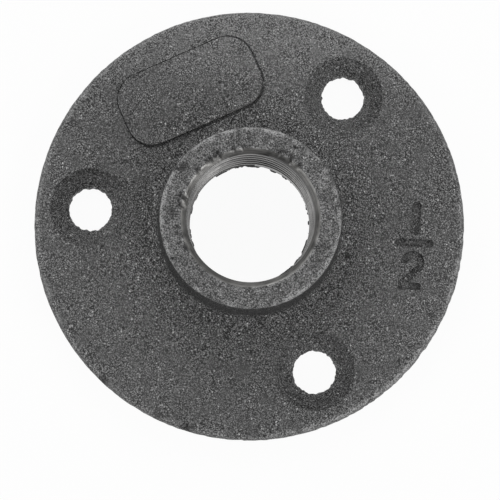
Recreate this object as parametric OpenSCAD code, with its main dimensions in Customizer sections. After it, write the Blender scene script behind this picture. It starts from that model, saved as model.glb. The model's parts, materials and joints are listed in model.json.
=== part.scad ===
// Threaded floor flange: one iron casting with a round plate, a hub bored for a pipe thread
// and countersunk screw holes. The origin is the centre of the back face, +Z runs up the hub.

/* [Plate] */
// Diameter of the rim
rim_d = 63; // [56:0.5:90]
// Thickness of the plate at the rim
rim_t = 4; // [3.5:0.1:7]
// Slope of the plate's face, rising from the rim to the hub, in degrees
plate_slope = 1.5; // [0:0.1:4]
// Rounding of the rim's front edge
rim_round = 0.9; // [0.2:0.1:1.5]
// Rounding of the rim's back edge
back_round = 0.4; // [0.2:0.1:1]

/* [Hub] */
// Height of the hub's end above the back face
height = 15; // [11:0.5:30]
// Wall of the hub round the bore, at the hub's end
hub_wall = 3.9; // [2.5:0.1:6]
// Draft of the hub's side, in degrees
hub_draft = 3; // [0.5:0.1:6]
// Fillet where the hub meets the plate
foot_fillet = 1.6; // [0.5:0.1:3]
// Rounding of the hub's outer edge at its end
lip_round = 0.5; // [0.2:0.1:1]

/* [Pipe bore] */
// Diameter of the bore at the thread's crests
bore_d = 18; // [12:0.1:27]
// Width of the chamfer at the mouth of the bore
mouth_chamfer = 0.9; // [0.3:0.1:1.5]
// Angle of the mouth's chamfer to the bore's axis, in degrees
mouth_angle = 45; // [30:1:60]
// Width of the chamfer at the back end of the bore
back_chamfer = 0.6; // [0.2:0.1:1.2]

/* [Screw holes] */
// Number of screw holes
screw_count = 3; // [2:1:4]
// Diameter of a screw hole
screw_d = 6.3; // [3:0.1:7]
// Diameter of a countersink at the plate's face
head_d = 11.5; // [9:0.1:13]
// Full angle of a countersink, in degrees
head_angle = 90; // [82:1:110]
// Land between a countersink and the rim
rim_land = 2.25; // [1:0.05:5]
// Direction of the first screw hole, in degrees from +X
screw_turn = 54; // [0:1:360]

/* [Pad] */
// Length of the bare raised pad, along the rim
pad_length = 21; // [12:0.5:24]
// Width of the pad
pad_width = 11; // [8:0.5:12]
// Corner radius of the pad
pad_corner = 3.8; // [1:0.1:3.9]
// Height of the pad above the plate's face
pad_raise = 0.35; // [0.2:0.05:1]
// Land between the pad and the rim, at the middle of the pad
pad_land = 4.5; // [3:0.1:8]

/* [Hidden] */
$fn = 128;

iron_grey = [0.3, 0.3, 0.3];

// How far a cutter runs past the face that it opens
cut_past = 1;
// How far a corner's arc reaches over the sides that it touches, so that they cross
arc_overlap = 0.001;

rim_r = rim_d / 2;
bore_r = bore_d / 2;
hub_r = bore_r + hub_wall;

// Height of the plate's face at radius r
function face_z(r) = rim_t + (rim_r - r) * tan(plate_slope);

// Radius where the drafted side of the hub meets the plate's face
foot_r = (hub_r + (height - face_z(0)) * tan(hub_draft)) / (1 - tan(plate_slope) * tan(hub_draft));

screw_circle_r = rim_r - rim_land - head_d / 2;
screw_step = 360 / screw_count;
screw_face_z = face_z(screw_circle_r);
head_depth = (head_d - screw_d) / 2 / tan(head_angle / 2);

// The pad lies midway between the first two screw holes, on the slope of the face
pad_r = rim_r - pad_land - pad_width / 2;
pad_turn = screw_turn + screw_step / 2;
pad_root = rim_t / 2;

// The hub's outer edge, the foot and the rim, outwards from the axis and back, anticlockwise
outline = [
    [0, 0],
    [rim_r, 0],
    [rim_r, face_z(rim_r)],
    [foot_r, face_z(foot_r)],
    [hub_r, height],
    [0, height]
];
outline_rounds = [0, back_round, rim_round, foot_fillet, lip_round, 0];

function unit(v) = v / norm(v);
function cross_z(u, v) = u[0] * v[1] - u[1] * v[0];

// Half of the angle at b between the sides b-a and b-c
function half_angle(a, b, c) = acos(unit(a - b) * unit(c - b)) / 2;

// Point on the side b-a where an arc of radius r in the corner a-b-c touches it
function touch(a, b, c, r) = b + unit(a - b) * r / tan(half_angle(a, b, c));

// Disc in the corner a-b-c that touches both of its sides
module corner_arc(a, b, c, r) {
    middle = unit(unit(a - b) + unit(c - b));
    translate(b + middle * r / sin(half_angle(a, b, c))) circle(r + arc_overlap);
}

// Closed outline, given anticlockwise, with its own radius at each corner (0 leaves it sharp)
module rounded_outline(points, rounds) {
    n = len(points);
    before = [for (i = [0:n - 1]) points[(i + n - 1) % n]];
    after = [for (i = [0:n - 1]) points[(i + 1) % n]];
    outward = [for (i = [0:n - 1]) cross_z(points[i] - before[i], after[i] - points[i]) > 0];
    corners = [for (i = [0:n - 1]) if (rounds[i] > 0) i];
    difference() {
        union() {
            polygon([
                for (i = [0:n - 1])
                each rounds[i] > 0
                    ? [
                        touch(before[i], points[i], after[i], rounds[i]),
                        touch(after[i], points[i], before[i], rounds[i])
                    ]
                    : [points[i]]
            ]);
            for (i = corners)
                if (outward[i]) corner_arc(before[i], points[i], after[i], rounds[i]);
        }
        for (i = corners)
            if (!outward[i]) corner_arc(before[i], points[i], after[i], rounds[i]);
    }
}

// Plate and hub as cast, before machining
module blank() {
    rotate_extrude() rounded_outline(outline, outline_rounds);
}

// Bare raised pad, parallel to the sloping face
module pad() {
    corner = [pad_width, pad_length] / 2;
    rotate(pad_turn)
        translate([pad_r, 0, face_z(pad_r)])
            rotate([0, plate_slope, 0])
                translate([0, 0, -pad_root])
                    linear_extrude(pad_root + pad_raise)
                        rounded_outline([
                            -corner,
                            [corner[0], -corner[1]],
                            corner,
                            [-corner[0], corner[1]]
                        ], [for (i = [0:3]) pad_corner]);
}

// Bore for the pipe thread, chamfered at both ends
module pipe_bore() {
    mouth_slope = tan(mouth_angle);
    rotate_extrude() polygon([
        [0, -cut_past],
        [bore_r + back_chamfer + cut_past, -cut_past],
        [bore_r, back_chamfer],
        [bore_r, height - mouth_chamfer / mouth_slope],
        [bore_r + mouth_chamfer + cut_past * mouth_slope, height + cut_past],
        [0, height + cut_past]
    ]);
}

// One countersunk screw hole, with its countersink measured at the plate's face
module screw_hole() {
    rotate_extrude() polygon([
        [0, -cut_past],
        [screw_d / 2, -cut_past],
        [screw_d / 2, screw_face_z - head_depth],
        [head_d / 2 + cut_past * tan(head_angle / 2), screw_face_z + cut_past],
        [0, screw_face_z + cut_past]
    ]);
}

module flange() {
    color(iron_grey)
        difference() {
            union() {
                blank();
                pad();
            }
            pipe_bore();
            for (i = [0:screw_count - 1])
                rotate(screw_turn + i * screw_step) translate([screw_circle_r, 0, 0]) screw_hole();
        }
}

flange();
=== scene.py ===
"""Threaded floor flange: one sand-cast iron piece, lying on its back on a pale floor."""
import json
import math

import bmesh
import bpy
from mathutils import Matrix, Vector, noise


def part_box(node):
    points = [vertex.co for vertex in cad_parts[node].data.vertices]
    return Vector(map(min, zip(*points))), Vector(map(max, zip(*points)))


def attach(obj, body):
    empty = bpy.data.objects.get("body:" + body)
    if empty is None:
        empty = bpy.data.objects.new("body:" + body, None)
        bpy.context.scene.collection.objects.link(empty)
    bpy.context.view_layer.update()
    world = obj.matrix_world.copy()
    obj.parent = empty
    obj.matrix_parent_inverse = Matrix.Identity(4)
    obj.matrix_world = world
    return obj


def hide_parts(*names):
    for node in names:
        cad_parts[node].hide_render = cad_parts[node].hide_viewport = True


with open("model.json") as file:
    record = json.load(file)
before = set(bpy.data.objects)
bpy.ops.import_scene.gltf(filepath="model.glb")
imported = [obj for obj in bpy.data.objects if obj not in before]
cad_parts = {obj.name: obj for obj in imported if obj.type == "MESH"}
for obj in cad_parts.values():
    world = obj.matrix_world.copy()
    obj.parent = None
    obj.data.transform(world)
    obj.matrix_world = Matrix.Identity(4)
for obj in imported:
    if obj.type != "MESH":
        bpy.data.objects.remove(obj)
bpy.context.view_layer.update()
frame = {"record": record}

MM = 0.001
TURN = 2 * math.pi

# Sizes that the frame gives, in metres
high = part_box("flange")[1]
mounts = {mount["name"]: mount["dims"] for mount in frame["record"]["mounts"]}
RIM_R = high.x
HEIGHT = high.z
BORE_R = mounts["pipe_thread"]["r_mm"] * MM
SCREW_R = mounts["screw_holes"]["hole_r_mm"] * MM
SCREW_CIRCLE_R = mounts["screw_holes"]["pcd_mm"] / 2 * MM
SCREW_COUNT = mounts["screw_holes"]["count"]

# Plate
RIM_T = 4 * MM
PLATE_SLOPE = math.radians(1.5)
RIM_ROUND = 0.9 * MM
BACK_ROUND = 0.4 * MM

# Hub and bore
HUB_WALL = 3.9 * MM
HUB_R = BORE_R + HUB_WALL
HUB_DRAFT = math.radians(3)
FOOT_FILLET = 1.6 * MM
LIP_ROUND = 0.5 * MM
MOUTH_CHAMFER = 0.9 * MM
MOUTH_R = BORE_R + MOUTH_CHAMFER
MOUTH_ROUND = 0.2 * MM
BACK_CHAMFER = 0.6 * MM

# Ring of cast skin below the thread, at the lower end of the bore, set a little off the axis
SKIN_PROUD = 0.36 * MM
SKIN_R = BORE_R - SKIN_PROUD
SKIN_TOP = 2.6 * MM
SKIN_STEP = 0.3 * MM
SKIN_SHIFT = 0.15 * MM

# Pipe thread, 14 turns to the inch, tapered by 1 in 32 on the radius and true to the bore at one height
PITCH = 25.4 / 14 * MM
TAPER = 1 / 32
TRUE_Z = 11.25 * MM
THREAD_LOW = SKIN_TOP + SKIN_STEP
THREAD_DEPTH = 0.95 * MM
THREAD_SLOPE = math.tan(math.radians(30))
THREAD_TURN = math.radians(85)
ROOT_FLAT = 0.2 * MM

# Run-out: how far inside the mouth's edge the groove ends, and for how many turns below the hub's end
RUN_OUT = 0.65 * MM
RUN_OUT_TURNS = 0.8

# Countersunk screw holes
SCREW_TURN = math.radians(54)
SCREW_STEP = TURN / SCREW_COUNT
SCREW_PLACES = [
    Matrix.Rotation(SCREW_TURN + i * SCREW_STEP, 2) @ Vector((SCREW_CIRCLE_R, 0))
    for i in range(SCREW_COUNT)
]
HEAD_R = 5.75 * MM
HEAD_HALF_ANGLE = math.radians(45)

# Bare raised pad, midway between the first two screw holes, with a fine seam round its foot
PAD_LENGTH = 21 * MM
PAD_WIDTH = 11 * MM
PAD_CORNER = 3.8 * MM
PAD_RAISE = 0.35 * MM
PAD_LAND = 4.5 * MM
PAD_R = RIM_R - PAD_LAND - PAD_WIDTH / 2
PAD_TURN = SCREW_TURN + SCREW_STEP / 2
PAD_ROOT = 1 * MM
PAD_EDGE = 0.12 * MM
SEAM_WIDTH = 0.16 * MM
SEAM_DEPTH = 0.3 * MM
SEAM_SHIFT = Vector((-0.1, -0.1, 0)) * MM

# Cast-in nominal size, one over two, sunk in the plate
MARK_TURN = math.radians(-7)
MARK_R = 24.2 * MM
MARK_DEPTH = 0.4 * MM

# Its straight strokes, in millimetres from its centre: name, start, end, width and depth
STROKES = [
    ("one", (-0.2, 1.5), (-0.2, 6.2), 1.3, 0.4),
    ("bar", (-2.7, 0.15), (2.7, 0.45), 1.05, 0.42),
    ("two_diagonal", (1.2, -3.15), (-1.4, -6.1), 1, 0.42),
    ("two_foot", (-1.6, -6.1), (1.6, -6), 1, 0.45),
]
STROKE_CORNER_SHARE = 0.35

# The round bow of its two
BOW_R = 1.2 * MM
BOW_WIDTH = 1 * MM
BOW_CENTRE = Vector((0.1, -2.65, 0)) * MM
BOW_START = math.radians(185)
BOW_SWEEP = math.radians(-225)

# Relief of the sand mould: broad lumps and small pits
LUMP_SIZE = 2.6 * MM
LUMP_DEPTH = 0.04 * MM
PIT_SIZE = 0.7 * MM
PIT_DEPTH = 0.1 * MM

# Torn edges: their noise is drawn out along the axis, and its octaves fade by a fractal dimension
TEAR_STRETCH = 5
TEAR_FADE = 0.8
OCTAVE_STEP = 2

# Torn ring of skin: how far back it is torn, then how much of that everywhere, on arcs and by chance
SKIN_RAGGED = 0.3 * MM
SKIN_RAGGED_SIZE = 1 * MM
SKIN_OCTAVES = 3
SKIN_TORN = 0.4
SKIN_TORN_ON_ARCS = 0.5
SKIN_TORN_BY_CHANCE = 1.5

# Ragged rim, with the share of it that is found off its arc
RIM_RAGGED = 0.16 * MM
RIM_RAGGED_SIZE = 0.9 * MM
RIM_OCTAVES = 2
RIM_OFF_ARC = 0.3

# Ragged screw holes, with a step through the noise that makes each hole its own
HOLE_RAGGED = 0.27 * MM
HOLE_RAGGED_SIZE = 0.55 * MM
HOLE_CHANGE = Vector((7, 0, 0))

# Arcs of torn skin, of painted highlight on worn edges, and of rough rim with painted highlight: direction
# of the middle and half the spread, in degrees
TORN_ARCS = [(30, 25), (150, 30)]
HIGHLIGHT_ARCS = [(160, 85), (306, 45), (75, 30)]
RIM_ARCS = [(310, 100)]

# Nicks in the casting: direction in degrees, then radius, height, reach and depth in millimetres
NICKS = [
    (252.5, 31.2, 4, 1.1, 0.45),
    (227, 31.3, 4, 0.8, 0.3),
    (147, 12.8, 15, 0.7, 0.3),
    (208, 12.9, 15, 0.7, 0.25),
    (58, 12, 15, 0.5, 0.15),
    (143, 12, 15, 1, 0.12),
    (47, 9.95, 15, 0.6, 0.25),
    (55, 10.05, 15, 0.8, 0.25),
    (65, 10.05, 15, 0.7, 0.25),
    (96, 10.2, 15, 0.5, 0.2),
    (104, 9.95, 15, 0.5, 0.2),
    (118, 9.95, 15, 0.8, 0.25),
    (126, 10.05, 15, 0.7, 0.25),
    (138, 9.9, 15, 0.6, 0.2),
    (163, 10.1, 15, 0.8, 0.4),
    (170, 10, 15, 0.7, 0.25),
    (205, 9.95, 15, 0.6, 0.2),
]
NICK_RAGGED = 0.8
NICK_RAGGED_SIZE = 0.45 * MM

# Edges lightened by wear and by painted highlight, the rim on two lines: radius, height, reach and strength
RIM_HIGHLIGHT_LINE = 0.6 * MM
WORN_AND_LIT_EDGES = [
    (HUB_R, HEIGHT, 0.95 * MM, 1.5),
    (MOUTH_R, HEIGHT, 0.35 * MM, 0.9),
    (RIM_R, RIM_T, 0.8 * MM, 0.8),
    (RIM_R - RIM_HIGHLIGHT_LINE, RIM_T, 0.4 * MM, 1.4),
]

# Wear of those edges, everywhere and by chance, with painted highlight added on the arcs that catch the
# lamps, and the rim's share off its arc and of painted highlight on it
EDGE_WEAR = 0.35
EDGE_HIGHLIGHT_ON_ARCS = 0.5
EDGE_WEAR_BY_CHANCE = 1.5
EDGE_WEAR_SIZE = 1.3 * MM
RIM_WEAR = 0.4
RIM_HIGHLIGHT_ON_ARC = 0.7

# Painted light on the plate, growing along Y from one place on, and light wear of the hub's end
PLATE_SHEEN = 0.21
PLATE_SHEEN_FROM = 19 * MM
PLATE_SHEEN_REACH = 8 * MM
LIP_WEAR = 0.1
LIP_WEAR_BY_CHANCE = 0.35
LIP_WEAR_SIZE = 0.9 * MM

# Painted shade, from 0 to 1, in hollows as deep as the mark and in the other places where shade falls, and
# stains on the hub's end
HOLLOW_SHADE = 0.2
CONE_SHADE = 0.35
SIDE_SHADE = 0.95
FOOT_SHADE = 0.1
SKIN_SHADE = 0.85
NICK_SHADE = 0.8
LIP_GRIME = -0.1
LIP_GRIME_BY_CHANCE = 0.8
LIP_GRIME_SIZE = 1.7 * MM

# Strength of the sand grain: 1, with patches by chance, and more in the countersinks and round the foot
GRAIN_BY_CHANCE = 0.9
GRAIN_PATCH_SIZE = 2.2 * MM
CONE_GRAIN = 0.5
FOOT_GRAIN = 1.1
FOOT_REACH = 7 * MM

# Floor: half its side in metres, and the share of plain white that the camera sees in it
FLOOR_HALF = 2
FLOOR_WHITE = 0.95

# Light from all round, as a level: what it adds on the floor, where 1 in all shows a colour as written
SKY = 0.3

# Lamps: side in metres, then name, direction and rise in degrees, distance in metres and level
LAMP_SIZE = 0.3
LAMPS = [
    ("lower_right_softbox", 318, 28, 0.5, 0.215),
    ("right_softbox", 20, 30, 0.5, 0.08),
    ("top_softbox", 98, 32, 0.34, 0.29),
    ("upper_left_softbox", 150, 30, 0.45, 0.06),
    ("left_softbox", 202, 28, 0.5, 0.145),
]

# Camera: its place, the point it looks at, and its lens and sensor in millimetres
CAMERA_PLACE = Vector((-4.55, -28.6, 320)) * MM
CAMERA_AIM = Vector((0.123, -3.417, 0)) * MM
LENS = 156.5
SENSOR = 36

# Mesh steps, and how far cutters run past the faces that they open
ROUND_STEPS = 480
TAP_STEPS = 92
HOLE_STEPS = 120
SHANK_CUTS = 5
CONE_CUTS = 11
BOW_STEPS = 24
PAD_EDGE_STEPS = 2
CAST_STEP = 0.38 * MM
BACK_STEP = 0.8 * MM
ARC_STEP = 0.15 * MM
CUT_PAST = 1 * MM
TAP_INSIDE = 0.12 * MM
SHARP_ANGLE = math.radians(38)

# Lengths that differ by less than this count as equal
SAME = MM / 1000


def face_z(r):
    """Height of the plate's sloping face at radius r."""
    return RIM_T + (RIM_R - r) * math.tan(PLATE_SLOPE)


def foot_radius():
    """Radius where the hub's drafted side meets the plate's face."""
    slope, draft = math.tan(PLATE_SLOPE), math.tan(HUB_DRAFT)
    return (HUB_R + (HEIGHT - face_z(0)) * draft) / (1 - slope * draft)


def crest_radius(z):
    """Radius of the tapered thread's crests at height z."""
    return BORE_R + TAPER * (z - TRUE_Z)


def mouth_low():
    """Height where the mouth's chamfer meets the thread's crests."""
    return (HEIGHT - MOUTH_R + BORE_R - TAPER * TRUE_Z) / (1 - TAPER)


def on_face(turn, r):
    """Frame on the plate's face: x outwards, y along the rim, z out of the face."""
    return (
        Matrix.Rotation(turn, 4, "Z")
        @ Matrix.Translation((r, 0, face_z(r)))
        @ Matrix.Rotation(PLATE_SLOPE, 4, "Y")
    )


def clamp(value):
    """The value, kept between 0 and 1."""
    return max(0, min(1, value))


def linear(code):
    """Linear colour of an sRGB hex code."""
    parts = [int(code[i : i + 2], 16) / 255 for i in (1, 3, 5)]
    return [c / 12.92 if c <= 0.04045 else ((c + 0.055) / 1.055) ** 2.4 for c in parts] + [1]


def node(tree, kind, inputs=None, **settings):
    """Add a shader node. Settings are its properties, inputs its values or the sockets that feed it."""
    made = tree.nodes.new(kind)
    for name, value in settings.items():
        setattr(made, name, value)
    for name, value in (inputs or {}).items():
        if isinstance(value, bpy.types.NodeSocket):
            tree.links.new(value, made.inputs[name])
        else:
            made.inputs[name].default_value = value
    return made


def new_material(name):
    """Empty node material and its node tree."""
    material = bpy.data.materials.new(name)
    material.use_nodes = True
    material.node_tree.nodes.clear()
    return material, material.node_tree


def sand_relief(tree, place, rough):
    """Height of the sand grain, from 0 in the pits to about 0.55, with its swing set by the roughness."""
    # Fine moulding sand has grains of about 0.1 mm, and is drawn as coarse as it needs to show
    grain_size, pebble_size = 0.16 * MM, 0.22 * MM
    mean_relief = 0.27
    grain = node(
        tree,
        "ShaderNodeTexNoise",
        {"Vector": place, "Scale": 1 / grain_size, "Detail": 2, "Roughness": 0.6},
    ).outputs["Fac"]
    pebble = node(
        tree, "ShaderNodeTexVoronoi", {"Vector": place, "Scale": 1 / pebble_size}
    ).outputs["Distance"]
    gap = node(tree, "ShaderNodeMath", {0: pebble, 1: 0.5}, operation="MULTIPLY").outputs["Value"]
    relief = node(tree, "ShaderNodeMath", {0: grain, 1: gap}, operation="SUBTRACT").outputs["Value"]
    swing = node(tree, "ShaderNodeMath", {0: relief, 1: mean_relief}, operation="SUBTRACT").outputs["Value"]
    return node(
        tree, "ShaderNodeMath", {0: swing, 1: rough, 2: mean_relief}, operation="MULTIPLY_ADD"
    ).outputs["Value"]


def painted_sand_glints(tree, place, rough):
    """Share of painted glint: some grains, chosen by chance, painted bright as if they caught the light."""
    # These painted glints sit on grains of the same sand, and are drawn as coarse as they need to show
    painted_glint_size = 0.3 * MM
    cells = node(tree, "ShaderNodeTexVoronoi", {"Vector": place, "Scale": 1 / painted_glint_size}).outputs
    lot = node(tree, "ShaderNodeSeparateColor", {"Color": cells["Color"]}).outputs["Red"]
    chosen = node(
        tree, "ShaderNodeMapRange", {"Value": lot, "From Min": 0.85, "From Max": 1, "To Max": 0.8}
    ).outputs["Result"]
    inside = node(
        tree, "ShaderNodeMapRange", {"Value": cells["Distance"], "From Min": 0.55, "From Max": 0.15}
    ).outputs["Result"]
    painted_glint = node(tree, "ShaderNodeMath", {0: chosen, 1: inside}, operation="MULTIPLY").outputs["Value"]
    return node(tree, "ShaderNodeMath", {0: painted_glint, 1: rough}, operation="MULTIPLY").outputs["Value"]


def sand_cast_iron():
    """Grey iron out of a sand mould: dark, neutral and grainy, with black pits, painted glints, wear and
    painted highlight, and stains and painted shade.
    """
    material, tree = new_material("sand_cast_iron")
    pit_tone, skin_tone, peak_tone = linear("#202020"), linear("#565656"), linear("#989898")
    painted_glint_tone, worn_and_lit_tone = linear("#cccccc"), linear("#a4a4a4")
    place = node(tree, "ShaderNodeTexCoord").outputs["Object"]
    wear_and_highlight = node(tree, "ShaderNodeAttribute", attribute_name="wear_and_highlight").outputs["Fac"]
    stain_and_shade = node(tree, "ShaderNodeAttribute", attribute_name="stain_and_shade").outputs["Fac"]
    rough = node(tree, "ShaderNodeAttribute", attribute_name="rough").outputs["Fac"]
    relief = sand_relief(tree, place, rough)
    painted_glint = painted_sand_glints(tree, place, rough)
    rise = node(
        tree, "ShaderNodeMapRange", {"Value": relief, "From Min": 0, "From Max": 0.3}
    ).outputs["Result"]
    peak = node(
        tree, "ShaderNodeMapRange", {"Value": relief, "From Min": 0.25, "From Max": 0.55}
    ).outputs["Result"]
    skin = node(
        tree, "ShaderNodeMix", {"Factor": rise, "A": pit_tone, "B": skin_tone}, data_type="RGBA"
    ).outputs["Result"]
    skin = node(
        tree, "ShaderNodeMix", {"Factor": peak, "A": skin, "B": peak_tone}, data_type="RGBA"
    ).outputs["Result"]

    # Stains, and painted shade in hollows, nicks and up the hub's side, darken the skin and its painted
    # glints
    stain_and_shade_factor = node(
        tree, "ShaderNodeMapRange", {"Value": stain_and_shade, "To Min": 1, "To Max": 0.22}
    ).outputs["Result"]
    skin = node(
        tree, "ShaderNodeMix", {"Factor": 1, "A": skin, "B": stain_and_shade_factor}, data_type="RGBA", blend_type="MULTIPLY"
    ).outputs["Result"]
    painted_glint = node(tree, "ShaderNodeMath", {0: painted_glint, 1: stain_and_shade_factor}, operation="MULTIPLY").outputs["Value"]
    # Painted glints: a few grains are painted bright, as if they caught the light
    skin = node(
        tree, "ShaderNodeMix", {"Factor": painted_glint, "A": skin, "B": painted_glint_tone}, data_type="RGBA"
    ).outputs["Result"]

    # Wear bares the metal, and painted light on the plate and painted highlight on the edges lighten it, on
    # the high grains first
    bare = node(
        tree,
        "ShaderNodeMapRange",
        {"Value": relief, "From Min": 0.08, "From Max": 0.4, "To Min": 0.1, "To Max": 1.3},
    ).outputs["Result"]
    rubbed_or_lit = node(tree, "ShaderNodeMath", {0: wear_and_highlight, 1: bare}, operation="MULTIPLY").outputs["Value"]
    skin = node(
        tree, "ShaderNodeMix", {"Factor": rubbed_or_lit, "A": skin, "B": worn_and_lit_tone}, data_type="RGBA"
    ).outputs["Result"]

    # Where there are stains or painted shade the skin is duller and less metallic
    metal = node(
        tree, "ShaderNodeMapRange", {"Value": stain_and_shade, "To Min": 0.35, "To Max": 0}
    ).outputs["Result"]
    dull = node(
        tree, "ShaderNodeMapRange", {"Value": stain_and_shade, "To Min": 0.5, "To Max": 1}
    ).outputs["Result"]
    bump = node(
        tree, "ShaderNodeBump", {"Height": relief, "Strength": 1, "Distance": 0.12 * MM}
    ).outputs["Normal"]
    iron = node(
        tree,
        "ShaderNodeBsdfPrincipled",
        {"Base Color": skin, "Metallic": metal, "Roughness": dull, "Normal": bump},
    ).outputs["BSDF"]
    node(tree, "ShaderNodeOutputMaterial", {"Surface": iron})
    return material


def axis_distance(tree, place):
    """Distance from the bore's axis."""
    across = node(
        tree, "ShaderNodeVectorMath", {0: place, 1: (1, 1, 0)}, operation="MULTIPLY"
    ).outputs["Vector"]
    return node(tree, "ShaderNodeVectorMath", {0: across}, operation="LENGTH").outputs["Value"]


def tapped_iron():
    """Iron that the tap has cut: bare metal, bright on the thread's crests, with painted shade that darkens
    it into the roots.
    """
    material, tree = new_material("tapped_iron")
    dull_tone, bright_tone, root_shade_tone = linear("#444443"), linear("#868584"), linear("#2c2c2b")
    mark_size, stain_size, root_shade_reach = 0.3 * MM, 2.5 * MM, 0.4 * MM

    # Single turns are too fine to show from above, so brighter and duller turns come in bands
    band_size, band_length = 2.2 * MM, 9 * MM
    crest_r = crest_radius(0)
    place = node(tree, "ShaderNodeTexCoord").outputs["Object"]
    z = node(tree, "ShaderNodeSeparateXYZ", {"Vector": place}).outputs["Z"]
    radius = node(
        tree, "ShaderNodeMath", {0: z, 1: -TAPER, 2: axis_distance(tree, place)}, operation="MULTIPLY_ADD"
    ).outputs["Value"]
    # Painted shade: the tone darkens from the crests down into the thread's roots
    depth = node(
        tree,
        "ShaderNodeMapRange",
        {"Value": radius, "From Min": crest_r, "From Max": crest_r + root_shade_reach},
    ).outputs["Result"]
    marks = node(
        tree, "ShaderNodeTexNoise", {"Vector": place, "Scale": 1 / mark_size, "Detail": 3}
    ).outputs["Fac"]
    stain = node(
        tree, "ShaderNodeTexNoise", {"Vector": place, "Scale": 1 / stain_size, "Detail": 3}
    ).outputs["Fac"]
    spread = node(
        tree,
        "ShaderNodeMapping",
        {"Vector": place, "Scale": (1 / band_length, 1 / band_length, 1 / band_size)},
    ).outputs["Vector"]
    bands = node(tree, "ShaderNodeTexNoise", {"Vector": spread, "Scale": 1, "Detail": 1}).outputs["Fac"]
    stain = node(tree, "ShaderNodeMath", {0: bands, 1: stain}, operation="MULTIPLY").outputs["Value"]
    stain = node(
        tree, "ShaderNodeMapRange", {"Value": stain, "From Min": 0.12, "From Max": 0.36}
    ).outputs["Result"]
    crest = node(
        tree, "ShaderNodeMix", {"Factor": stain, "A": dull_tone, "B": bright_tone}, data_type="RGBA"
    ).outputs["Result"]
    tone = node(
        tree, "ShaderNodeMix", {"Factor": depth, "A": crest, "B": root_shade_tone}, data_type="RGBA"
    ).outputs["Result"]
    bump = node(
        tree, "ShaderNodeBump", {"Height": marks, "Strength": 0.4, "Distance": 0.03 * MM}
    ).outputs["Normal"]
    iron = node(
        tree,
        "ShaderNodeBsdfPrincipled",
        {"Base Color": tone, "Metallic": 0.85, "Roughness": 0.36, "Normal": bump},
    ).outputs["BSDF"]
    node(tree, "ShaderNodeOutputMaterial", {"Surface": iron})
    return material


def turned_iron():
    """Iron that a cutter has turned at the mouth: bare metal with fine rings round the axis."""
    material, tree = new_material("turned_iron")
    dull_tone, bright_tone = linear("#4c4c4b"), linear("#7e7d7b")
    worn_and_lit_tone, stain_and_shade_tone = linear("#b4b3b1"), linear("#383838")

    # The cutter's rings are about 0.1 mm apart, and are drawn as coarse as they need to show
    ring_size, stain_size = 0.15 * MM, 2.5 * MM
    place = node(tree, "ShaderNodeTexCoord").outputs["Object"]
    wear_and_highlight = node(tree, "ShaderNodeAttribute", attribute_name="wear_and_highlight").outputs["Fac"]
    stain_and_shade = node(tree, "ShaderNodeAttribute", attribute_name="stain_and_shade").outputs["Fac"]
    rings = node(
        tree,
        "ShaderNodeTexNoise",
        {"W": axis_distance(tree, place), "Scale": 1 / ring_size, "Detail": 1},
        noise_dimensions="1D",
    ).outputs["Fac"]
    stain = node(
        tree, "ShaderNodeTexNoise", {"Vector": place, "Scale": 1 / stain_size, "Detail": 3}
    ).outputs["Fac"]
    blend = node(tree, "ShaderNodeMath", {0: rings, 1: stain}, operation="MULTIPLY").outputs["Value"]
    blend = node(
        tree, "ShaderNodeMapRange", {"Value": blend, "From Min": 0.1, "From Max": 0.4}
    ).outputs["Result"]
    tone = node(
        tree, "ShaderNodeMix", {"Factor": blend, "A": dull_tone, "B": bright_tone}, data_type="RGBA"
    ).outputs["Result"]
    # Wear and painted highlight lighten the mouth's edge
    tone = node(
        tree, "ShaderNodeMix", {"Factor": wear_and_highlight, "A": tone, "B": worn_and_lit_tone}, data_type="RGBA"
    ).outputs["Result"]
    # Painted shade in the nicks, and stains on the hub's end, darken the turned metal
    tone = node(
        tree, "ShaderNodeMix", {"Factor": stain_and_shade, "A": tone, "B": stain_and_shade_tone}, data_type="RGBA"
    ).outputs["Result"]
    bump = node(
        tree, "ShaderNodeBump", {"Height": rings, "Strength": 0.5, "Distance": 0.03 * MM}
    ).outputs["Normal"]
    iron = node(
        tree,
        "ShaderNodeBsdfPrincipled",
        {"Base Color": tone, "Metallic": 0.75, "Roughness": 0.4, "Normal": bump},
    ).outputs["BSDF"]
    node(tree, "ShaderNodeOutputMaterial", {"Surface": iron})
    return material


def new_piece(name, bm, *materials):
    """Object at the origin from a finished bmesh, with its faces outwards."""
    bmesh.ops.recalc_face_normals(bm, faces=bm.faces)
    mesh = bpy.data.meshes.new(name)
    bm.to_mesh(mesh)
    bm.free()
    for material in materials:
        mesh.materials.append(material)
    piece = bpy.data.objects.new(name, mesh)
    bpy.context.scene.collection.objects.link(piece)
    return piece


def carve(piece, cutters, operation="DIFFERENCE"):
    """Cut the cutters out of a piece, or join them to it, and remove them."""
    for cutter in cutters:
        modifier = piece.modifiers.new(cutter.name, "BOOLEAN")
        modifier.object = cutter
        modifier.operation = operation
        modifier.solver = "EXACT"
        modifier.material_mode = "TRANSFER"
    mesh = bpy.data.meshes.new_from_object(piece.evaluated_get(bpy.context.evaluated_depsgraph_get()))
    piece.modifiers.clear()
    piece.data = mesh
    for cutter in cutters:
        bpy.data.objects.remove(cutter)


def round_corner(bm, corner, radius):
    """Round one corner of a flat face with a tangent arc."""
    sides = [edge.other_vert(corner).co - corner.co for edge in corner.link_edges]
    half = sides[0].angle(sides[1]) / 2
    segments = max(3, round(radius * (math.pi - 2 * half) / ARC_STEP))
    bmesh.ops.bevel(
        bm,
        geom=[corner],
        offset=radius / math.tan(half),
        offset_type="OFFSET",
        segments=segments,
        profile=0.5,
        affect="VERTICES",
        material=-1,
    )


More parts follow.
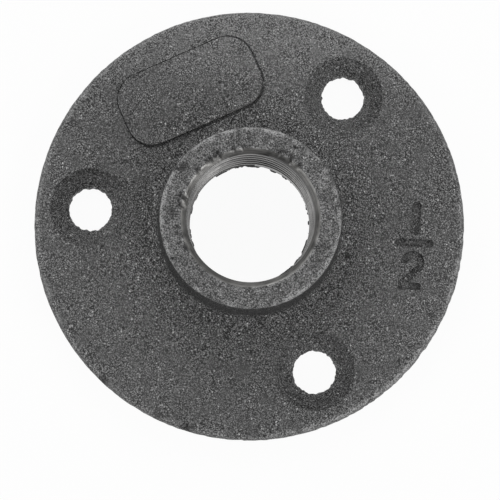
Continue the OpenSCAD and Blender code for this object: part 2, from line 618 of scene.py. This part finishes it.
def rounded_prism(width, length, corner, bottom, top):
    """Upright prism on a rounded rectangle, centred on the origin."""
    bm = bmesh.new()
    bmesh.ops.create_grid(bm, x_segments=1, y_segments=1, size=0.5)
    bmesh.ops.scale(bm, vec=(width, length, 1), verts=bm.verts)
    bmesh.ops.translate(bm, vec=(0, 0, bottom), verts=bm.verts)
    for vert in bm.verts[:]:
        round_corner(bm, vert, corner)
    raised = bmesh.ops.extrude_face_region(bm, geom=bm.faces[:], use_keep_orig=True)["geom"]
    verts = [part for part in raised if isinstance(part, bmesh.types.BMVert)]
    bmesh.ops.translate(bm, vec=(0, 0, top - bottom), verts=verts)
    return bm


def cast_blank(*materials):
    """Plate and hub with their bore: the section, rounded at its corners and spun round the axis."""
    foot = foot_radius()
    section = [
        (crest_radius(THREAD_LOW), THREAD_LOW, 0),
        (SKIN_R, SKIN_TOP, 0),
        (SKIN_R, BACK_CHAMFER, 0),
        (BORE_R + BACK_CHAMFER, 0, 0),
        (RIM_R, 0, BACK_ROUND),
        (RIM_R, RIM_T, RIM_ROUND),
        (foot, face_z(foot), FOOT_FILLET),
        (HUB_R, HEIGHT, LIP_ROUND),
        (MOUTH_R, HEIGHT, MOUTH_ROUND),
        (crest_radius(mouth_low()), mouth_low(), 0),
    ]
    bm = bmesh.new()
    corners = [bm.verts.new((r, 0, z)) for r, z, _ in section]
    bm.faces.new(corners)
    for corner, (_, _, radius) in zip(corners, section):
        if radius:
            round_corner(bm, corner, radius)
    bmesh.ops.delete(bm, geom=bm.faces[:], context="FACES_ONLY")

    # Fine steps for the cast relief, except on the wall of the bore, which the tap cuts
    for edge in bm.edges[:]:
        ends = [vert.co for vert in edge.verts]
        middle = (ends[0] + ends[1]) / 2
        if middle.x < MOUTH_R and SKIN_TOP < middle.z < mouth_low():
            continue
        step = BACK_STEP if middle.z == 0 else CAST_STEP
        bmesh.ops.subdivide_edges(bm, edges=[edge], cuts=int(edge.calc_length() / step))
    bmesh.ops.spin(
        bm, geom=bm.verts[:] + bm.edges[:], axis=(0, 0, 1), angle=TURN, steps=ROUND_STEPS, use_merge=True
    )
    for face in bm.faces:
        middle = face.calc_center_median()
        if middle.xy.length < MOUTH_R and middle.z > THREAD_LOW:
            face.material_index = 1 if middle.z < mouth_low() else 2
    return new_piece("cast_flange", bm, *materials)


def countersinks(material):
    """A core for each screw hole, as it lay in the mould: a cone over a ragged shank."""
    surface = face_z(SCREW_CIRCLE_R)
    seat = surface - (HEAD_R - SCREW_R) / math.tan(HEAD_HALF_ANGLE)
    points = [
        (0, -CUT_PAST),
        (SCREW_R, -CUT_PAST),
        (SCREW_R, seat),
        (HEAD_R + CUT_PAST * math.tan(HEAD_HALF_ANGLE), surface + CUT_PAST),
        (0, surface + CUT_PAST),
    ]
    made = []
    for i in range(SCREW_COUNT):
        bm = bmesh.new()
        verts = [bm.verts.new((r, 0, z)) for r, z in points]
        _, shank, cone, _ = [bm.edges.new(pair) for pair in zip(verts, verts[1:])]
        bmesh.ops.subdivide_edges(bm, edges=[shank], cuts=SHANK_CUTS)
        bmesh.ops.subdivide_edges(bm, edges=[cone], cuts=CONE_CUTS)
        bmesh.ops.spin(
            bm, geom=bm.verts[:] + bm.edges[:], axis=(0, 0, 1), angle=TURN, steps=HOLE_STEPS, use_merge=True
        )
        bmesh.ops.remove_doubles(bm, verts=bm.verts, dist=SAME)
        for vert in bm.verts:
            if 0 < vert.co.xy.length and vert.co.z < seat + SAME:
                swell = HOLE_RAGGED * noise.noise(vert.co / HOLE_RAGGED_SIZE + HOLE_CHANGE * i)
                vert.co.xy *= 1 + swell / SCREW_R
        turned = Matrix.Rotation(SCREW_TURN + i * SCREW_STEP, 4, "Z")
        placed = turned @ Matrix.Translation((SCREW_CIRCLE_R, 0, 0))
        bmesh.ops.transform(bm, matrix=placed, verts=bm.verts)
        made.append(new_piece(f"countersink_{i}", bm, material))
    return made


def tap(material):
    """Helical cutter for the pipe thread: the groove's section, spun up the bore, fading at the mouth."""
    bm = bmesh.new()
    inner, outer = crest_radius(0) - TAP_INSIDE, crest_radius(0) + THREAD_DEPTH
    root = ROOT_FLAT / 2
    mouth = root + THREAD_SLOPE * (THREAD_DEPTH + TAP_INSIDE)
    start = THREAD_LOW + mouth
    section = [(inner, -mouth), (outer, -root), (outer, root), (inner, mouth)]
    verts = [bm.verts.new((r, 0, start + rise)) for r, rise in section]
    face = bm.faces.new(verts)
    steps = round((HEIGHT + PITCH - start) / PITCH * TAP_STEPS)
    bmesh.ops.spin(
        bm,
        geom=verts + face.edges[:] + [face],
        axis=(0, 0, 1),
        dvec=(0, 0, PITCH / TAP_STEPS),
        angle=TURN * steps / TAP_STEPS,
        steps=steps,
    )
    for vert in bm.verts:
        r = vert.co.xy.length
        turns_down = (HEIGHT - vert.co.z) / PITCH
        limit = MOUTH_R - RUN_OUT + max(0, turns_down - RUN_OUT_TURNS) * THREAD_DEPTH
        vert.co.xy *= min(r + TAPER * vert.co.z, limit) / r
    bmesh.ops.rotate(bm, matrix=Matrix.Rotation(THREAD_TURN, 3, "Z"), verts=bm.verts)
    return new_piece("tap", bm, material)


def seam_pocket(material):
    """Shallow pocket that the pad stands in, shifted to leave a seam that is widest on the hub's side."""
    bm = rounded_prism(
        PAD_WIDTH + 2 * SEAM_WIDTH,
        PAD_LENGTH + 2 * SEAM_WIDTH,
        PAD_CORNER + SEAM_WIDTH,
        -SEAM_DEPTH,
        CUT_PAST,
    )
    placed = on_face(PAD_TURN, PAD_R) @ Matrix.Translation(SEAM_SHIFT)
    bmesh.ops.transform(bm, matrix=placed, verts=bm.verts)
    return new_piece("seam_pocket", bm, material)


def pad_block(material):
    """Block that the pad is trimmed from, with a fine grid on top."""
    bm = bmesh.new()
    bmesh.ops.create_grid(
        bm, x_segments=round(PAD_WIDTH / CAST_STEP), y_segments=round(PAD_LENGTH / CAST_STEP), size=0.5
    )
    bmesh.ops.scale(bm, vec=(PAD_WIDTH + 2 * CUT_PAST, PAD_LENGTH + 2 * CUT_PAST, 1), verts=bm.verts)
    lowered = bmesh.ops.extrude_face_region(bm, geom=bm.faces[:], use_keep_orig=True)["geom"]
    verts = [part for part in lowered if isinstance(part, bmesh.types.BMVert)]
    bmesh.ops.translate(bm, vec=(0, 0, -PAD_ROOT - CUT_PAST), verts=verts)
    bmesh.ops.translate(bm, vec=(0, 0, PAD_RAISE), verts=bm.verts)
    bmesh.ops.transform(bm, matrix=on_face(PAD_TURN, PAD_R), verts=bm.verts)
    return new_piece("pad", bm, material)


def raised_pad(material):
    """The bare pad: its block, trimmed to the rounded outline with a fine upper edge."""
    bm = rounded_prism(PAD_WIDTH, PAD_LENGTH, PAD_CORNER, -PAD_ROOT, PAD_RAISE + PAD_EDGE / 2)
    bmesh.ops.recalc_face_normals(bm, faces=bm.faces)
    upper = [edge for edge in bm.edges if min(vert.co.z for vert in edge.verts) > PAD_RAISE]
    bmesh.ops.bevel(
        bm,
        geom=upper,
        offset=PAD_EDGE,
        offset_type="OFFSET",
        segments=PAD_EDGE_STEPS,
        profile=0.5,
        affect="EDGES",
        material=-1,
    )
    bmesh.ops.transform(bm, matrix=on_face(PAD_TURN, PAD_R), verts=bm.verts)
    pad = pad_block(material)
    carve(pad, [new_piece("pad_outline", bm, material)], "INTERSECT")
    return pad


def stroke(name, start, end, width, depth, material):
    """Straight stroke of the size mark, between two points in millimetres from the mark's centre."""
    start, end = Vector(start) * MM, Vector(end) * MM
    along = end - start
    bm = rounded_prism(along.length, width * MM, width * STROKE_CORNER_SHARE * MM, -depth * MM, CUT_PAST)
    middle = (start + end) / 2
    turned = Matrix.Rotation(math.atan2(along.y, along.x), 4, "Z")
    placed = on_face(MARK_TURN, MARK_R) @ Matrix.Translation((middle.x, middle.y, 0)) @ turned
    bmesh.ops.transform(bm, matrix=placed, verts=bm.verts)
    return new_piece(name, bm, material)


def two_bow(material):
    """Round bow of the two: the stroke's section, spun round the bow's centre."""
    bm = bmesh.new()
    inner, outer = BOW_R - BOW_WIDTH / 2, BOW_R + BOW_WIDTH / 2
    section = [(inner, -MARK_DEPTH), (outer, -MARK_DEPTH), (outer, CUT_PAST), (inner, CUT_PAST)]
    verts = [bm.verts.new((r, 0, z)) for r, z in section]
    face = bm.faces.new(verts)
    bmesh.ops.spin(
        bm, geom=verts + face.edges[:] + [face], axis=(0, 0, 1), angle=BOW_SWEEP, steps=BOW_STEPS
    )
    turned = Matrix.Rotation(BOW_START, 4, "Z")
    placed = on_face(MARK_TURN, MARK_R) @ Matrix.Translation(BOW_CENTRE) @ turned
    bmesh.ops.transform(bm, matrix=placed, verts=bm.verts)
    return new_piece("two_bow", bm, material)


def size_mark(material):
    """The nominal size as sunk strokes: one, a bar and a two with a round bow."""
    one, bar, diagonal, foot = [stroke(*values, material) for values in STROKES]
    return [one, bar, two_bow(material), diagonal, foot]


def along_arcs(place, arcs):
    """1 in the middle of the nearest of some arcs round the axis, falling to 0 at its ends."""
    turn = math.degrees(math.atan2(place.y, place.x))
    return max(max(0, 1 - abs((turn - middle + 180) % 360 - 180) / spread) for middle, spread in arcs)


def near_foot(r):
    """1 at the hub's foot, falling to 0 further out on the plate."""
    return max(0, 1 - (r - foot_radius()) / FOOT_REACH)


def off_hole(place):
    """Distance from the axis of the nearest screw hole."""
    return min((place.xy - hole).length for hole in SCREW_PLACES)


def on_plate_face(place):
    """Whether a point is on the plate's face, in a hollow of it or on the hub's side."""
    return HUB_R < place.xy.length < RIM_R - RIM_ROUND and place.z > BACK_ROUND


def on_hub_end(place):
    """Whether a point is on the hub's end."""
    return place.z > HEIGHT - LIP_ROUND


def low_in_bore(place, top):
    """Whether a point is on the wall of the bore, no higher than top."""
    return place.xy.length < BORE_R and place.z < top + SAME


def into_nick(place):
    """How far the nicks move a point into the casting, and how deep in one it lies, from 0 to 1."""
    move, deepest = Vector(), 0
    by_chance = NICK_RAGGED * noise.noise(place / NICK_RAGGED_SIZE)
    for turn, r, z, reach, depth in NICKS:
        outward = Matrix.Rotation(math.radians(turn), 3, "Z") @ Vector((1, 0, 0))
        near = 1 - ((place - outward * r * MM - Vector((0, 0, z * MM))).length / (reach * MM)) ** 2
        near = min(1, near + by_chance)
        if near > 0:
            side = outward if r * MM < (MOUTH_R + HUB_R) / 2 else -outward
            move += (side - Vector((0, 0, 1))).normalized() * near * near * depth * MM
            deepest = max(deepest, near)
    return move, deepest


def wear_and_highlight_at(place):
    """How far a point is lightened: painted light on the plate, wear on the hub's end, and wear with
    painted highlight on the edges.
    """
    r, z = place.xy.length, place.z
    wear_and_highlight = 0
    # Painted light: the plate's face is lightened towards +Y, on the side of the top lamp
    if z > RIM_T - RIM_ROUND:
        wear_and_highlight = clamp((place.y - PLATE_SHEEN_FROM) / PLATE_SHEEN_REACH) * PLATE_SHEEN
    if on_hub_end(place):
        wear_and_highlight = max(0, LIP_WEAR + LIP_WEAR_BY_CHANCE * noise.noise(place / LIP_WEAR_SIZE))
    # Painted highlight: on the arcs where the lamps catch the edges, they are lightened beyond their wear
    by_chance = EDGE_WEAR_BY_CHANCE * noise.noise(place / EDGE_WEAR_SIZE)
    broken = clamp(EDGE_WEAR + EDGE_HIGHLIGHT_ON_ARCS * along_arcs(place, HIGHLIGHT_ARCS) + by_chance)
    for edge_r, edge_z, reach, strength in WORN_AND_LIT_EDGES:
        near = max(0, 1 - math.hypot(r - edge_r, z - edge_z) / reach)
        if r > RIM_R - 2 * RIM_ROUND:
            near *= RIM_WEAR + RIM_HIGHLIGHT_ON_ARC * along_arcs(place, RIM_ARCS)
        wear_and_highlight = max(wear_and_highlight, strength * near * broken)
    return wear_and_highlight


def stain_and_shade_at(place):
    """How dark a point is made: painted shade on the torn skin deep in the bore, in hollows and
    countersinks, round the hub's foot and up its side, and stains on the hub's end.
    """
    r, z = place.xy.length, place.z
    # Painted shade deep in the bore, on the torn skin
    if low_in_bore(place, THREAD_LOW):
        return SKIN_SHADE
    if on_hub_end(place):
        return max(0, LIP_GRIME_BY_CHANCE * noise.noise(place / LIP_GRIME_SIZE) + LIP_GRIME)
    if not on_plate_face(place):
        return 0
    # Painted shade in the sunk mark and seam, in the countersinks, up the hub's side and round its foot
    sunk = (face_z(r) - z) / MARK_DEPTH * HOLLOW_SHADE
    if off_hole(place) < HEAD_R:
        sunk = CONE_SHADE * (off_hole(place) - SCREW_R) / (HEAD_R - SCREW_R)
    side = (z - face_z(r)) / FOOT_FILLET if r < foot_radius() + FOOT_FILLET else 0
    return clamp(max(sunk, min(side, SIDE_SHADE), FOOT_SHADE * near_foot(r)))


def grain_at(place):
    """How strong the sand grain is at a point."""
    if on_hub_end(place):
        return 1
    grain = 1 + GRAIN_BY_CHANCE * noise.noise(place / GRAIN_PATCH_SIZE)
    if on_plate_face(place):
        grain += CONE_GRAIN if off_hole(place) < HEAD_R else 0
        grain += FOOT_GRAIN * near_foot(place.xy.length)
    return grain


def tear_noise(place, size, octaves):
    """Noise of a torn edge, drawn out along the axis."""
    upright = Vector((place.x, place.y, place.z / TEAR_STRETCH))
    return noise.fractal(upright / size, TEAR_FADE, OCTAVE_STEP, octaves)


def torn_skin(place):
    """How far a point on the ring of skin moves: back where it is torn, and off the axis with the ring."""
    outward = Vector((place.x, place.y, 0)) / place.xy.length
    by_chance = SKIN_TORN_BY_CHANCE * tear_noise(place, SKIN_RAGGED_SIZE, SKIN_OCTAVES)
    torn = clamp(SKIN_TORN + SKIN_TORN_ON_ARCS * along_arcs(place, TORN_ARCS) + by_chance)
    return outward * SKIN_RAGGED * torn + Vector((0, SKIN_SHIFT, 0))


def cast_depth(place):
    """How deep the mould's lumps and pits, and the tears of the rim, go at a point."""
    lump = 0.5 + 0.5 * noise.noise(place / LUMP_SIZE)
    pit = 0.5 + 0.5 * noise.noise(place / PIT_SIZE)
    depth = LUMP_DEPTH * lump + PIT_DEPTH * pit
    if place.xy.length > RIM_R - RIM_ROUND / 2:
        torn = max(0, tear_noise(place, RIM_RAGGED_SIZE, RIM_OCTAVES))
        depth += RIM_RAGGED * torn * (RIM_OFF_ARC + along_arcs(place, RIM_ARCS))
    return depth


def roughen(piece):
    """Give the casting its relief, tears and nicks, and note its wear and painted highlight, its stains and
    painted shade, and how grainy it is.
    """
    bm = bmesh.new()
    bm.from_mesh(piece.data)
    bm.normal_update()
    wear_and_highlight = bm.verts.layers.float.new("wear_and_highlight")
    stain_and_shade = bm.verts.layers.float.new("stain_and_shade")
    rough = bm.verts.layers.float.new("rough")
    moves = []
    for vert in bm.verts:
        move, nicked = into_nick(vert.co)
        vert[wear_and_highlight] = wear_and_highlight_at(vert.co) * (1 - nicked)
        # Painted shade in the nicks
        vert[stain_and_shade] = max(stain_and_shade_at(vert.co), NICK_SHADE * nicked)
        vert[rough] = grain_at(vert.co)
        if low_in_bore(vert.co, SKIN_TOP):
            move += torn_skin(vert.co)
        elif all(face.material_index == 0 for face in vert.link_faces):
            move -= vert.normal * cast_depth(vert.co)
        moves.append(move)

    # Points move once all are noted, and none goes below the back face
    for vert, move in zip(bm.verts, moves):
        vert.co += move
        vert.co.z = max(vert.co.z, 0)
    bm.to_mesh(piece.data)
    bm.free()
    piece.data.shade_smooth()
    piece.data.set_sharp_from_angle(angle=SHARP_ANGLE)


def build_flange():
    """The flange: the blank, tapped, with its marks and screw holes sunk and the pad joined on."""
    cast, tapped, turned = sand_cast_iron(), tapped_iron(), turned_iron()
    flange = cast_blank(cast, tapped, turned)
    carve(flange, [tap(tapped)])
    carve(flange, [seam_pocket(cast), *size_mark(cast), *countersinks(cast)])
    carve(flange, [raised_pad(cast)], "UNION")
    roughen(flange)
    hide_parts("flange")
    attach(flange, "root")


def seen_share(tree, share):
    """Share of a plain white that the camera and mirrors see; other rays see none of it."""
    path = node(tree, "ShaderNodeLightPath").outputs
    seen = node(
        tree, "ShaderNodeMath", {0: path["Is Camera Ray"], 1: path["Is Glossy Ray"]}, operation="MAXIMUM"
    ).outputs["Value"]
    seen = node(
        tree, "ShaderNodeMath", {0: seen, 1: path["Is Transmission Ray"]}, operation="MAXIMUM"
    ).outputs["Value"]
    return node(tree, "ShaderNodeMath", {0: seen, 1: share}, operation="MULTIPLY").outputs["Value"]


def white_paper():
    """Matt white paper for the floor: nearly plain white to the camera, so that only a shadow shows."""
    material, tree = new_material("white_paper")
    share = seen_share(tree, FLOOR_WHITE)
    paper = node(tree, "ShaderNodeBsdfDiffuse", {"Color": linear("#e4e4e4")}).outputs["BSDF"]
    glow = node(tree, "ShaderNodeEmission", {"Color": (1, 1, 1, 1), "Strength": 1}).outputs["Emission"]
    mixed = node(tree, "ShaderNodeMixShader", {0: share, 1: paper, 2: glow}).outputs["Shader"]
    node(tree, "ShaderNodeOutputMaterial", {"Surface": mixed})
    return material


def lay_floor():
    """Pale floor that keeps the flange's shadow."""
    bm = bmesh.new()
    bmesh.ops.create_grid(bm, x_segments=1, y_segments=1, size=FLOOR_HALF)
    new_piece("floor", bm, white_paper())


def light_sky(scene):
    """Even white light from all round."""
    scene.world = bpy.data.worlds.new("studio")
    scene.world.use_nodes = True
    tree = scene.world.node_tree
    tree.nodes.clear()
    sky = node(tree, "ShaderNodeBackground", {"Color": (1, 1, 1, 1), "Strength": SKY}).outputs["Background"]
    node(tree, "ShaderNodeOutputWorld", {"Surface": sky})


def hang_lamps(scene):
    """Soft square lamps round the flange, each turned to its middle."""
    for name, turn, rise, distance, level in LAMPS:
        lamp = bpy.data.lights.new(name, "AREA")
        lamp.size = LAMP_SIZE
        lamp.energy = level * (math.pi * distance) ** 2 / math.sin(math.radians(rise))
        stand = bpy.data.objects.new(name, lamp)
        turned = Matrix.Rotation(math.radians(turn), 3, "Z") @ Matrix.Rotation(math.radians(-rise), 3, "Y")
        stand.location = turned @ Vector((distance, 0, 0))
        stand.rotation_euler = (-stand.location).to_track_quat("-Z", "Y").to_euler()
        scene.collection.objects.link(stand)


def set_camera(scene):
    """Camera above the flange, a little below its middle as pictured, with +Y up in the picture."""
    lens = bpy.data.cameras.new("camera")
    lens.sensor_width = SENSOR
    lens.lens = LENS
    camera = bpy.data.objects.new("camera", lens)
    camera.location = CAMERA_PLACE
    back = (CAMERA_PLACE - CAMERA_AIM).normalized()
    side = Vector((0, 1, 0)).cross(back).normalized()
    camera.rotation_euler = Matrix((side, back.cross(side), back)).transposed().to_euler()
    scene.collection.objects.link(camera)
    scene.camera = camera


def stage():
    """Floor, light and camera."""
    scene = bpy.context.scene
    scene.view_settings.view_transform = "Standard"
    lay_floor()
    light_sky(scene)
    hang_lamps(scene)
    set_camera(scene)


build_flange()
stage()
